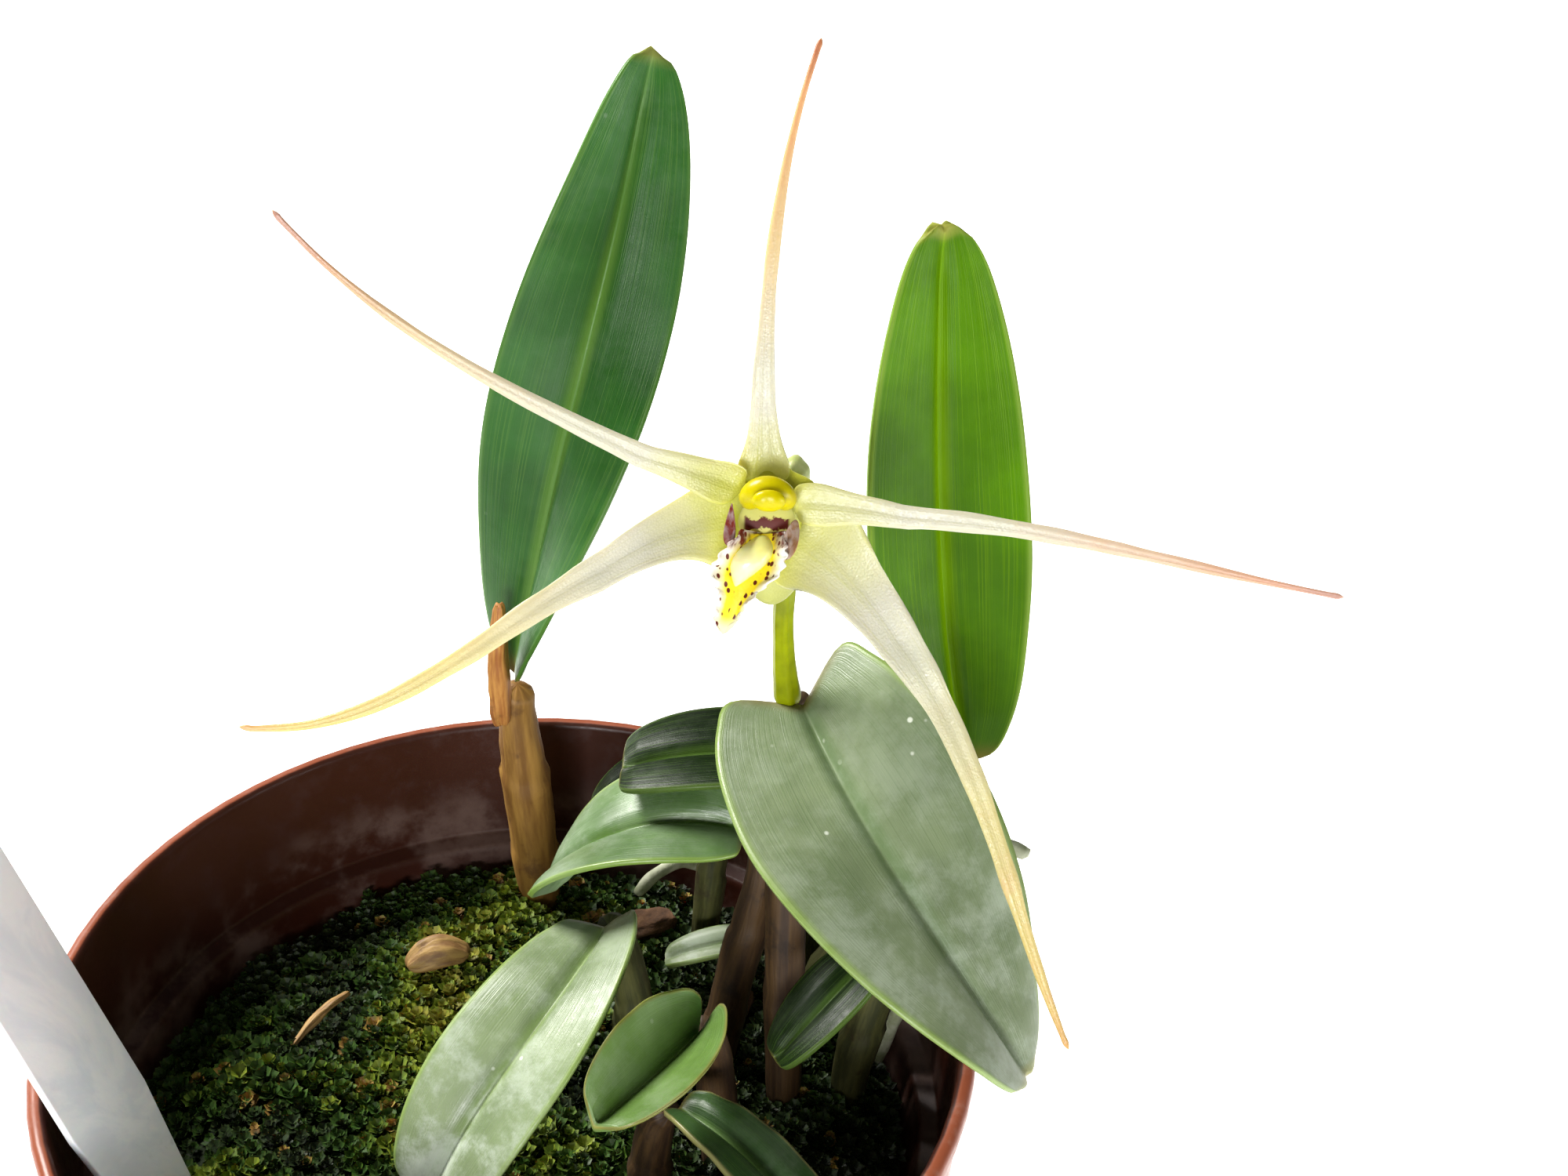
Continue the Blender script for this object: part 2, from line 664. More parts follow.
def tepal_finish(name, settings, stops):
    """Ivory with a crystalline surface; stops are (share of length, colour) from base to tip."""
    made, tree, shader = new_finish(name, 0.42, 1.0, Subsurface_Weight=0.25, Sheen_Weight=0.05)
    shader.inputs["Subsurface Radius"].default_value = (1.2 * MM, 0.9 * MM, 0.4 * MM)
    _, along, under, signed = tree.group(blade_map())
    place = tree.place()
    wander = tree.plus(along, tree.times(tree.math("SUBTRACT", tree.noise(place, 130), 0.5), 0.16))
    tone = tree.ramp(wander, *stops)
    lines = tree.add("ShaderNodeCombineXYZ", tree.times(signed, 7.0), tree.times(along, 1.6), under)
    veins = tree.noise(lines, 1.4, 3)
    tone = tree.mix(tree.span(veins, 0.5, 0.75, 0, 0.22), tone, settings.throat)
    blush = tree.times(tree.span(tree.noise(place, 420, 4), 0.5, 0.75), tree.span(along, 0.25, 0.9, 0, 0.4))
    tone = tree.mix(blush, tone, settings.peach)
    crystals = tree.add("ShaderNodeTexVoronoi", place, 5200.0, feature="F1")
    height = tree.plus(tree.times(crystals, 0.5), tree.times(veins, 0.9))
    tree.finish(
        shader, tone, tree.span(tree.noise(place, 2400, 2), 0.3, 0.7, 0.32, 0.52), height, 0.09 * MM, 0.5
    )
    return made


# ---------------------------------------------------------------- operators


class ORCHID_OT_pot(bpy.types.Operator):
    """The nursery pot with softened edges, and the mix inside it"""

    bl_idname = "orchid.pot"
    bl_label = "Pot"

    def execute(self, context):
        settings = context.scene.orchid.pot
        bm = merged_copy("pot")
        flat = []
        for edge in bm.edges:
            a, b = (vert.co for vert in edge.verts)
            turned = abs(a.xy.angle_signed(b.xy, 0.0)) if a.xy.length > MM and b.xy.length > MM else 0
            climbed = abs(a.z - b.z) + abs(a.xy.length - b.xy.length)
            if min(a.z, b.z) > 6 * MM and turned > radians(2) and climbed > 0.1 * MM:
                flat.append(edge)
        bmesh.ops.dissolve_edges(bm, edges=flat, use_verts=False)
        bm.normal_update()
        corners = []
        for edge in bm.edges:
            a, b = (vert.co for vert in edge.verts)
            level = abs(a.z - b.z) < 0.05 * MM and abs(a.xy.length - b.xy.length) < 0.05 * MM
            if level and min(a.z, b.z) > 20 * MM and edge.is_manifold:
                if edge.calc_face_angle(0) > radians(12):
                    corners.append(edge)
        bmesh.ops.bevel(
            bm,
            geom=corners,
            offset=settings.edge_round,
            affect="EDGES",
            segments=3,
            profile=0.5,
            material=-1,
            clamp_overlap=True,
        )
        bm.normal_update()
        layer = bm.verts.layers.float.new("inside")
        for vert in bm.verts:
            outward = vert.normal.xy.dot(vert.co.xy.normalized()) if vert.co.xy.length > MM else 0
            ledge = outward < 0.35 and vert.normal.z > -0.3 and vert.co.z < 74 * MM
            vert[layer] = float(vert.co.z > 20 * MM and (outward < -0.3 or ledge))
        finish_piece("nursery_pot", bm, self.plastic(settings), ["pot"], radians(50))
        self.fill()
        return {"FINISHED"}

    def plastic(self, settings):
        made, tree, shader = new_finish("pot_plastic", 0.36, Specular_IOR_Level=0.3)
        skin = tree.group(moulded(), Color=settings.lip, Dust=0.15)
        place = tree.tree.nodes.new("ShaderNodeTexCoord").outputs["Object"]
        parts = tree.add("ShaderNodeSeparateXYZ", place).node.outputs
        drift = tree.times(tree.math("SUBTRACT", tree.noise(place, 55, 5, 0.6), 0.5), 14 * MM)
        level = tree.plus(parts[2], drift)
        inside = tree.add("ShaderNodeAttribute", attribute_name="inside", out=2)
        low = tree.span(level, 67 * MM, 60 * MM)
        tide = tree.times(inside, low)
        tide = tree.times(tide, tree.span(tree.noise(place, 160, 5, 0.6), 0.4, 0.66))
        tone = tree.mix(tree.times(inside, 0.94), skin["Color"], (0.026, 0.0065, 0.004, 1))
        tone = tree.mix(tree.times(tide, 0.2), tone, settings.chalk)
        tree.finish(
            shader,
            tone,
            tree.plus(skin["Roughness"], tree.times(tide, 0.25)),
            skin["Height"],
            0.05 * MM,
            0.4,
        )
        return made

    def fill(self):
        made, tree, shader = new_finish("potting_mix", 0.95)
        place = tree.place()
        bits = tree.add("ShaderNodeTexVoronoi", place, 260.0, feature="F1")
        tone = tree.ramp(
            tree.noise(place, 300, 6, 0.7), (0.3, (0.008, 0.005, 0.003)), (0.75, (0.06, 0.032, 0.016))
        )
        tree.finish(shader, tone, None, bits, 1.2 * MM, 0.9)
        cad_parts["potting_mix"].data.materials.clear()
        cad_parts["potting_mix"].data.materials.append(made)


class ORCHID_OT_label(bpy.types.Operator):
    """The blank plant label with rounded edges"""

    bl_idname = "orchid.label"
    bl_label = "Plant label"

    def execute(self, context):
        bm = merged_copy("plant_label")
        bmesh.ops.dissolve_limit(bm, angle_limit=radians(1), verts=bm.verts, edges=bm.edges)
        sharp = [edge for edge in bm.edges if edge.calc_face_angle(0) > radians(60)]
        bmesh.ops.bevel(
            bm,
            geom=sharp,
            offset=0.18 * MM,
            affect="EDGES",
            segments=3,
            profile=0.5,
            material=-1,
            clamp_overlap=True,
        )
        made, tree, shader = new_finish("label_plastic", 0.35, 1 * MM, Subsurface_Weight=0.15)
        place = tree.place()
        wisps = tree.add("ShaderNodeTexNoise", place, 75.0, 5.0, 0.6, 2.0, 2.4)
        soil = tree.times(tree.span(tree.noise(place, 500, 6, 0.7), 0.55, 0.7), 0.5)
        parts = tree.add("ShaderNodeSeparateXYZ", place).node.outputs
        low = tree.span(parts[2], 72 * MM, 58 * MM)
        white = context.scene.orchid.pot.label
        tone = tree.mix(
            tree.span(wisps, 0.35, 0.65), tree.mix(1.0, white, (0.86, 0.88, 0.92, 1), "MULTIPLY"), white
        )
        tone = tree.mix(tree.times(soil, low), tone, (0.12, 0.09, 0.06, 1))
        tree.finish(
            shader, tone, tree.span(wisps, 0.3, 0.7, 0.28, 0.5), tree.noise(place, 1500, 3), 0.05 * MM, 0.3
        )
        finish_piece("plant_label_plate", bm, made, ["plant_label"], radians(40))
        return {"FINISHED"}


class ORCHID_OT_moss(bpy.types.Operator):
    """The mossy ground and its thousands of shoots"""

    bl_idname = "orchid.moss"
    bl_label = "Moss"

    def execute(self, context):
        settings = context.scene.orchid.moss
        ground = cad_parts["moss_mat"]
        ground.data.materials.clear()
        ground.data.materials.append(self.ground_finish(settings))
        shoots = self.grow(settings)
        shoots.data.materials.append(self.shoot_finish(settings))
        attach(shoots, "root")
        return {"FINISHED"}

    def ground_finish(self, settings):
        made, tree, shader = new_finish("moss_ground", 0.95)
        place = tree.place()
        clumps = tree.noise(place, 420, 6, 0.7)
        tone = tree.ramp(
            clumps, (0.35, settings.dark), (0.6, (0.012, 0.018, 0.004)), (0.8, (0.03, 0.028, 0.008))
        )
        tree.finish(shader, tone, None, clumps, 1.0 * MM, 1.0)
        return made

    def shoot_finish(self, settings):
        made, tree, shader = new_finish("moss_shoots", 0.55, 0.8 * MM, Subsurface_Weight=0.1)
        reach = tree.add("ShaderNodeAttribute", attribute_name="reach", out=2)
        kind = tree.add("ShaderNodeAttribute", attribute_name="kind", out=2)
        body = tree.ramp(
            kind,
            (0.0, settings.dark),
            (0.4, settings.green),
            (0.78, settings.yellow),
            (0.9, settings.tan),
        )
        tone = tree.mix(tree.span(reach, 0.0, 0.75), settings.dark, body)
        tips = tree.times(tree.span(reach, 0.72, 1.0), tree.span(kind, 0.3, 0.8, 0.1, 0.75))
        tone = tree.mix(tips, tone, (0.24, 0.3, 0.02, 1))
        speckle = tree.noise(tree.place(), 1800, 2)
        tone = tree.mix(tree.span(speckle, 0.35, 0.65, 0.35, 0), tone, (0.02, 0.03, 0.005, 1))
        tree.finish(shader, tone)
        return made

    def shoot_shape(self, leaflets, lean, rise):
        """(points, faces, reach): a whorl of folded leaflets on a short stem, 1 high."""
        points, faces, reach = [], [], []
        for tier, (count, spread, foot, tip) in enumerate(zip(leaflets, lean, (0.2, 0.5, 0.75), rise)):
            for i in range(count):
                angle = 2 * pi * (i + 0.37 * tier) / count
                out = np.array((cos(angle), sin(angle), 0.0))
                side = np.array((-sin(angle), cos(angle), 0.0))
                root = out * 0.05 + (0, 0, foot)
                middle = out * spread * 0.55 + (0, 0, (foot + tip) / 2 + 0.06)
                start = len(points)
                points += [root, middle + side * 0.2, out * spread + (0, 0, tip), middle - side * 0.2]
                faces += [(start, start + 1, start + 2), (start, start + 2, start + 3)]
                reach += [0.15 + 0.3 * tier, 0.6, 1.0, 0.6]
        return np.array(points), faces, np.array(reach)

    def grow(self, settings):
        ground = merged_copy("moss_mat")
        tree = BVHTree.FromBMesh(ground)
        low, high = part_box("moss_mat")
        outer = (high[0] - low[0]) / 2
        shapes = [
            self.shoot_shape((6, 5, 4), (0.52, 0.4, 0.2), (0.45, 0.8, 1.0)),
            self.shoot_shape((5, 5, 3), (0.6, 0.34, 0.14), (0.35, 0.75, 1.0)),
            self.shoot_shape((7, 5, 3), (0.45, 0.42, 0.24), (0.5, 0.85, 0.98)),
        ]
        chance = np.random.default_rng(settings.seed)
        points, faces, reach, kinds = [], [], [], []
        total = 0
        for i in range(settings.shoots):
            share = (i + 0.5) / settings.shoots
            radius, angle = outer * share**0.5, i * 2.399963
            x = radius * cos(angle) + chance.normal(0, 0.35 * MM)
            y = radius * sin(angle) + chance.normal(0, 0.35 * MM)
            if x * x + y * y > (outer - 0.7 * MM) ** 2:
                continue
            clump = noise.noise(Vector((x, y, 0.3)) * 130)
            drier = noise.noise(Vector((x, y, 2.1)) * 60)
            hit, normal, _, _ = tree.ray_cast(Vector((x, y, high[2] + 0.01)), Vector((0, 0, -1)))
            if hit is None or clump < -0.55 and chance.random() < 0.5:
                continue
            size = settings.height * (0.7 + 0.4 * (clump + 0.4)) * chance.uniform(0.7, 1.2)
            kind = np.clip(0.42 + 0.75 * drier + 0.35 * clump + chance.normal(0, 0.13), 0.0, 0.82)
            kind *= (1 - 0.75 * ease(x, 4 * MM, 18 * MM)) * (1 - 0.6 * ease(radius, 0.72 * outer, outer))
            if chance.random() < 0.03:
                kind = 1.0
            shape, shape_faces, shape_reach = shapes[i % 3]
            up = (normal + Vector((chance.normal(0, 0.22), chance.normal(0, 0.22), 0.9))).normalized()
            turn = up.to_track_quat("Z", "Y").to_matrix() @ Matrix.Rotation(
                chance.uniform(0, 2 * pi), 3, "Z"
            )
            width = chance.uniform(0.8, 1.15)
            scaled = shape * (size * width, size * width, size)
            spot = np.array(hit) - (0, 0, 0.25 * MM)
            points.append(scaled @ np.array(turn).T + spot)
            faces += [tuple(total + corner for corner in face) for face in shape_faces]
            reach.append(shape_reach)
            kinds.append(np.full(len(shape), kind))
            total += len(shape)
        ground.free()
        mesh = bpy.data.meshes.new("moss_shoots")
        mesh.from_pydata(np.concatenate(points).tolist(), [], faces)
        for name, values in (("reach", reach), ("kind", kinds)):
            mesh.attributes.new(name, "FLOAT", "POINT").data.foreach_set("value", np.concatenate(values))
        made = bpy.data.objects.new("moss_shoots", mesh)
        bpy.context.scene.collection.objects.link(made)
        return made


class ORCHID_OT_leaves(bpy.types.Operator):
    """The twelve leaves"""

    bl_idname = "orchid.leaves"
    bl_label = "Leaves"

    def execute(self, context):
        settings = context.scene.orchid.leaf
        rust, straw = (0.2, 0.15, 0.03), (0.3, 0.25, 0.1)
        finishes = {
            "tall": leaf_finish(
                "tall_leaf", settings.mature, settings, 0.03, edge=(0.08, 0.18, 0.03), shine=0.18
            ),
            "fresh": leaf_finish(
                "fresh_leaf", settings.fresh, settings, 0.0, rib=(0.2, 0.36, 0.0), shine=0.08
            ),
            "grey": leaf_finish("grey_leaf", settings.grey, settings, 0.35, rib=(0.07, 0.13, 0.04)),
            "pale": leaf_finish(
                "pale_leaf", [c * 1.25 for c in settings.grey], settings, 0.7, rib=(0.2, 0.3, 0.07)
            ),
            "sheen": leaf_finish("sheen_leaf", (0.1, 0.18, 0.06), settings, 0.2, shine=0.5),
            "deep": leaf_finish(
                "deep_leaf", settings.deep, settings, 0.03, edge=(0.07, 0.12, 0.02), shine=0.12
            ),
            "rusty": leaf_finish("rusty_leaf", (0.13, 0.23, 0.05), settings, 0.12, edge=rust),
            "tanned": leaf_finish("tanned_leaf", (0.035, 0.085, 0.02), settings, 0.15, edge=straw),
        }
        kinds = (
            "tall",
            "fresh",
            "grey",
            "deep",
            "sheen",
            "pale",
            "rusty",
            "tanned",
            "deep",
            "pale",
            "pale",
            "deep",
        )
        for number, kind in enumerate(kinds, start=1):
            node = f"leaf_{number}"
            bm = leaf_bmesh(
                node, top_of(f"pseudobulb_{number}"), settings, number, kind in ("rusty", "tanned")
            )
            finish_piece(f"blade_{number}", bm, finishes[kind], [node])
        return {"FINISHED"}


class ORCHID_OT_stems(bpy.types.Operator):
    """The pseudobulbs in their papery sheaths, the creeping stem and the roots"""

    bl_idname = "orchid.stems"
    bl_label = "Stems and roots"

    def execute(self, context):
        brown = papery_finish(
            "old_sheath", (0.03, 0.014, 0.005), (0.08, 0.042, 0.013), (0.014, 0.007, 0.003), 5
        )
        ochre = papery_finish(
            "ochre_sheath", (0.17, 0.075, 0.012), (0.34, 0.18, 0.035), (0.1, 0.04, 0.008), 4
        )
        green = papery_finish(
            "young_sheath", (0.03, 0.034, 0.008), (0.09, 0.09, 0.024), (0.03, 0.016, 0.006), 5
        )
        for number in range(1, LEAF_COUNT + 1):
            node = f"pseudobulb_{number}"
            sheaths = 3 if number in (1, 2, 3, 5) else 2

            def relief(angle, share, points, sheaths=sheaths, number=number):
                slant = share * sheaths + 0.1 * np.cos(angle + number * 1.3)
                lap = slant - np.floor(slant)
                ribs = 0.03 * MM * np.cos(angle * 9 + number)
                return ribs + 0.3 * MM * lap**3 - 0.05 * MM + 0.1 * MM * smooth_noise(points, 450, number)

            bm = stem_skin(node, Vector(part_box(node)[0]), relief=relief)
            finish = ochre if number == 1 else brown if number in (3, 5, 7, 8, 10) else green
            finish_piece(f"stem_{number}", bm, finish, [node])
        bm = stem_skin("rhizome", Vector(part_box("rhizome")[0]), around=16, along=60)
        finish_piece("creeping_stem", bm, brown, ["rhizome"])
        made, tree, shader = new_finish("root_skin", 0.7)
        place = tree.place()
        tone = tree.ramp(tree.noise(place, 500, 4), (0.35, (0.22, 0.25, 0.12)), (0.65, (0.5, 0.52, 0.38)))
        tree.finish(shader, tone, None, tree.noise(place, 3000, 3), 0.08 * MM, 0.6)
        for number in (1, 2):
            node = f"root_{number}"
            bm = stem_skin(
                node, Vector(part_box(node)[0]), 16, 40, lambda a, s, p: 0.1 * MM * smooth_noise(p, 600)
            )
            finish_piece(f"air_root_{number}", bm, made, [node])
        return {"FINISHED"}


class ORCHID_OT_flower(bpy.types.Operator):
    """The flower with its lip and column, its ovary and its stalk"""

    bl_idname = "orchid.flower"
    bl_label = "Flower"

    def axes(self, settings):
        tilt = settings.tilt
        return Vector((1, 0, 0)), Vector((0, sin(tilt), cos(tilt))), Vector((0, -cos(tilt), sin(tilt)))

    def at(self, right, up, forward):
        """A place in the flower's own frame, in millimetres, as a point of the model."""
        r, u, f = self.ways
        return self.heart + (r * right + u * (up + HEART_RISE) + f * forward) * MM

    def execute(self, context):
        settings = context.scene.orchid.flower
        self.ways = self.axes(settings)
        r, u, f = self.ways
        self.heart = centre_of("column") - (r * 0.8 + u * 4.2 + f * 2.6) * MM
        self.tepals(settings)
        self.heart_cup(settings)
        self.lip(settings)
        self.column(settings)
        self.stalk(settings)
        return {"FINISHED"}

    def tepals(self, settings):
        ivory, throat, peach = settings.ivory, settings.throat, settings.peach
        golden, mauve, grey = (0.52, 0.4, 0.13), (0.36, 0.2, 0.16), (0.46, 0.455, 0.34)
        soft = tuple(0.55 * a + 0.45 * b for a, b in zip(ivory, throat))
        # Each blade's colours as (share of its length, colour), after the throat's own.
        tips = {
            "dorsal_sepal": (
                (0.3, ivory), (0.55, (0.52, 0.39, 0.19)), (0.88, peach), (1.0, (0.26, 0.06, 0.03))
            ),
            "left_petal": (
                (0.35, ivory), (0.65, (0.52, 0.4, 0.24)), (0.88, (0.42, 0.24, 0.14)), (1.0, mauve)
            ),
            "right_petal": (
                (0.38, ivory), (0.6, (0.52, 0.39, 0.28)), (0.85, (0.48, 0.27, 0.18)), (1.0, mauve)
            ),
            "left_lateral_sepal": ((0.3, ivory), (0.6, (0.55, 0.47, 0.2)), (0.9, golden), (1.0, peach)),
            "right_lateral_sepal": (
                (0.3, grey), (0.55, (0.48, 0.43, 0.19)), (0.85, golden), (1.0, (0.42, 0.2, 0.05))
            ),
        }
        for seed, (node, stops) in enumerate(tips.items()):
            finish = tepal_finish(
                node + "_skin", settings, ((0.0, throat), (0.08, soft), (0.2, ivory), *stops)
            )
            bm = tepal_bmesh(node, self.heart, seed)
            for vert in bm.verts:
                near = 1 - min(1, (vert.co - self.heart).length / HEART_REACH)
                vert.co += self.ways[1] * (HEART_RISE * 1.3 * MM * near)
            finish_piece(node + "_blade", bm, finish, [node])

    def heart_cup(self, settings):
        """The broad fused bases of the tepals behind the column, with the chin below them."""

        def cup(x, y, z):
            lobes = 1 + 0.12 * cos(np.arctan2(y, x) * 5 - 1.57)
            deep = z * (1.15 if z < 0 else 1.5) - 0.3 * (x * x + y * y)
            return self.at(0.8 + x * 3.8 * lobes, 3.1 + y * 3.7 * lobes, deep - 1.5)

        ivory, throat = settings.ivory, settings.throat
        finish = tepal_finish("heart_skin", settings, ((0.0, throat), (0.2, throat), (1.0, ivory)))
        finish_piece("flower_heart", ball(cup, 40, 24, lambda x, y: (0.25, 0.04)), finish)
        middle, half = middle_and_half("mentum")

        def chin(x, y, z):
            swell = 1 - 0.25 * max(0, -z)
            return middle + Vector((x * half.x * swell, y * half.y, z * half.z))

        finish = tepal_finish("chin_skin", settings, ((0.0, (0.4, 0.41, 0.12)), (1.0, ivory)))
        finish_piece("flower_chin", ball(chin, 32, 20, lambda x, y: (0, 0)), finish, ["mentum"])

    def lip_point(self, across, along, settings):
        """Middle of the lip's sheet: a trough with raised side lobes and a frilled margin."""
        half = np.interp(
            along,
            (0, 0.12, 0.3, 0.42, 0.55, 0.7, 0.85, 0.95, 1),
            (1.5, 2.2, 2.8, 2.9, 2.1, 1.35, 1.05, 0.85, 0.35),
        )
        stand = np.interp(along, (0, 0.15, 0.35, 0.6, 1), (2.2, 2.4, 1.5, 0.9, 0.35))
        edge = abs(across) ** 2.2
        frill = settings.frill / MM * (abs(across) ** 5) * sin(along * 34 + 2.5 * across) * (1 - along**6)
        ripple = 0.5 * settings.frill / MM * (abs(across) ** 5) * sin(along * 57)
        right = 0.55 - 3.2 * along + across * (half + ripple)
        up = 0.9 - 8.3 * along + 0.7 * edge
        forward = 1.5 + 4.2 * along - 3.2 * along**2 + edge * stand + frill
        return right, up, forward

    def lip(self, settings):
        rows, columns = 56, 36
        across, along = np.linspace(-1, 1, columns + 1), np.linspace(0, 1, rows + 1)
        sheet = np.array([[self.at(*self.lip_point(a, t, settings)) for a in across] for t in along])
        over = np.gradient(sheet, axis=1)
        down = np.gradient(sheet, axis=0)
        normal = np.cross(over, down)
        normal /= np.maximum(np.linalg.norm(normal, axis=2, keepdims=True), 1e-12)
        if (normal @ np.array(self.ways[2])).sum() < 0:
            normal = -normal
        thick = (0.28 - 0.2 * abs(across) ** 3)[None, :, None] * MM * (1 - 0.5 * along**4)[:, None, None]
        top, low = sheet + normal * thick, sheet - normal * thick
        points = np.concatenate([top, low[:, ::-1], top[:, :1]], axis=1)
        points[0], points[-1] = sheet[0, columns // 2], sheet[-1, columns // 2]
        tops = np.concatenate([(across + 1) / 4, 0.5 + (1 - across[::-1]) / 4, [1.0]])
        bm = skin_grid(points, tops, along)
        finish_piece("lip_blade", bm, self.lip_finish(settings), ["lip"])

        def callus(x, y, z):
            share = (1 - y) / 2
            wide = np.interp(share, (0, 0.2, 0.5, 0.8, 1), (1.0, 1.25, 1.05, 0.65, 0.3))
            forward = 2.05 + 2.4 * share - 1.3 * share**2 + z * 1.15 * wide
            return self.at(0.45 - 2.1 * share + x * 1.5 * wide, 0.8 - 4.1 * share, forward)

        made, tree, shader = new_finish("callus_wax", 0.3, 1 * MM, Subsurface_Weight=0.3, Coat_Weight=0.3)
        tone = tree.ramp(
            tree.noise(tree.place(), 320, 3), (0.35, (0.72, 0.69, 0.22)), (0.65, (0.78, 0.76, 0.4))
        )
        tree.finish(shader, tone)
        finish_piece("lip_callus", ball(callus, 32, 24), made)

    def lip_finish(self, settings):
        made, tree, shader = new_finish(
            "lip_skin", 0.42, 0.8 * MM, Subsurface_Weight=0.08, Specular_IOR_Level=0.2
        )
        across, along, _, _ = tree.group(blade_map())
        place = tree.place()
        wander = tree.times(tree.math("SUBTRACT", tree.noise(place, 900, 3), 0.5), 0.22)
        rim = tree.plus(across, wander)
        tone = tree.mix(tree.span(rim, 0.62, 0.82), settings.lip, (0.62, 0.56, 0.3, 1))
        tone = tree.mix(tree.span(rim, 0.8, 0.95), tone, (0.7, 0.67, 0.58, 1))
        tone = tree.mix(tree.span(along, 0.8, 0.95), tone, (0.6, 0.56, 0.36, 1))
        dots = tree.add("ShaderNodeTexVoronoi", tree.place((1.0, 1.0, 0.6)), 1900.0, feature="F1")
        seen = tree.add("ShaderNodeTexWhiteNoise", dots.node.outputs["Position"])
        zone = tree.times(tree.span(rim, 0.15, 0.4), tree.span(rim, 0.95, 0.84))
        spot = tree.times(tree.span(dots, 0.38, 0.26), tree.math("LESS_THAN", seen, tree.times(zone, 0.9)))
        lobe = tree.times(tree.span(along, 0.24, 0.1), tree.span(rim, 0.5, 0.72))
        streak = tree.noise(tree.place((1.0, 1.0, 0.3)), 1500, 3)
        mark = tree.math("MAXIMUM", spot, tree.times(lobe, tree.span(streak, 0.4, 0.55, 0.45, 1)))
        tone = tree.mix(mark, tone, settings.spot)
        tree.finish(shader, tone, None, tree.noise(place, 2600, 3), 0.1 * MM, 0.4)
        return made

    def wax(self, name, tone_low, tone_high, rough=0.3):
        made, tree, shader = new_finish(name, rough, Subsurface_Weight=0.1, Specular_IOR_Level=0.2)
        shader.inputs["Subsurface Scale"].default_value = 0.001
        place = tree.place()
        tree.finish(
            shader,
            tree.ramp(tree.noise(place, 380, 4), (0.35, tone_low), (0.65, tone_high)),
            None,
            tree.noise(place, 2200, 3),
            0.06 * MM,
            0.4,
        )
        return made

    def column(self, settings):
        cap = settings.cap
        yellow = self.wax("column_wax", tuple(c * 0.9 for c in cap), cap)

        def hood(x, y, z):
            hollow = 0.9 * np.exp(-((x / 0.55) ** 2)) * max(0, -y)
            return self.at(0.8 + 2.35 * x * (1 - 0.1 * y), 4.1 + 1.75 * y + hollow, 2.6 + 1.6 * z + 0.5 * y)

        finish_piece("column_hood", ball(hood, 40, 24), yellow, ["column"])
        middle, half = middle_and_half("anther_cap")
        middle += self.ways[1] * HEART_RISE * MM

        def anther(x, y, z):
            dimple = 1 - 0.16 * np.exp(-((x / 0.22) ** 2)) * (y < 0)
            return middle + Vector((x * half.x, y * half.y * dimple, z * half.z * 0.95))

        bright = self.wax("anther_wax", cap, (0.46, 0.4, 0.0), 0.28)
        finish_piece("anther_hood", ball(anther, 32, 20), bright, ["anther_cap"])
        self.throat(settings)
        self.side_lobes()

    def side_lobes(self):
        """The lip's two upright lobes, veined maroon, one either side of the throat."""
        for name, foot, top, wide, curl, taper, tint in (
            ("left_lobe", (-2.3, 0.0, 3.0), (-2.1, 3.5, 3.2), 0.7, 0.5, 0.75, (0.14, 0.014, 0.006)),
            ("right_lobe", (2.3, -1.0, 3.3), (3.1, 2.3, 3.3), 0.8, 0.9, 0.3, (0.24, 0.12, 0.05)),
        ):

            def lobe(x, y, z, foot=foot, top=top, wide=wide, curl=curl, taper=taper):
                share = (z + 1) / 2
                right, up, forward = (a + (b - a) * share for a, b in zip(foot, top))
                bent = 0.3 * y + curl * wide * x * x - 0.4 * share
                return self.at(right + x * wide * (1 - taper * share), up, forward + bent)

            made, tree, shader = new_finish(
                name + "_skin", 0.5, 0.8 * MM, Subsurface_Weight=0.05, Specular_IOR_Level=0.15
            )
            streaks = tree.noise(tree.place((1.0, 1.0, 0.25)), 2200, 3)
            tone = tree.ramp(
                streaks, (0.38, tint), (0.62, [0.18 + 0.7 * c for c in tint]), (0.8, (0.42, 0.34, 0.2))
            )
            tree.finish(shader, tone, None, streaks, 0.1 * MM, 0.5)
            finish_piece(name, ball(lobe, 24, 24), made)

    def throat(self, settings):
        """The column's foot: a pale shallow bowl with a maroon band across it."""

        def bowl(x, y, z):
            return self.at(0.75 + 2.35 * x, 1.9 + 1.9 * y, 1.35 + 0.75 * z - 0.4 * (1 - x * x) * (z > 0))

        made, tree, shader = new_finish(
            "throat_skin", 0.45, 1 * MM, Subsurface_Weight=0.05, Specular_IOR_Level=0.15
        )
        parts = tree.add(
            "ShaderNodeSeparateXYZ", tree.tree.nodes.new("ShaderNodeUVMap").outputs[0]
        ).node.outputs
        place = tree.place()
        ragged = tree.times(tree.math("SUBTRACT", tree.noise(place, 1300, 3), 0.5), 0.42)
        level = tree.plus(parts[1], ragged)
        band = tree.times(tree.span(level, 0.3, 0.35), tree.span(level, 0.6, 0.55))
        band = tree.times(
            band, tree.span(tree.math("ABSOLUTE", tree.math("SUBTRACT", parts[0], 0.5)), 0.42, 0.36)
        )
        tone = tree.mix(tree.span(parts[1], 0.2, 0.8), (0.56, 0.52, 0.14, 1), (0.5, 0.5, 0.14, 1))
        tree.finish(shader, tree.mix(band, tone, settings.spot))
        bm = ball(bowl, 36, 24, lambda x, y: (0.5 + 0.5 * x, 0.5 + 0.5 * y))
        finish_piece("column_foot", bm, made)

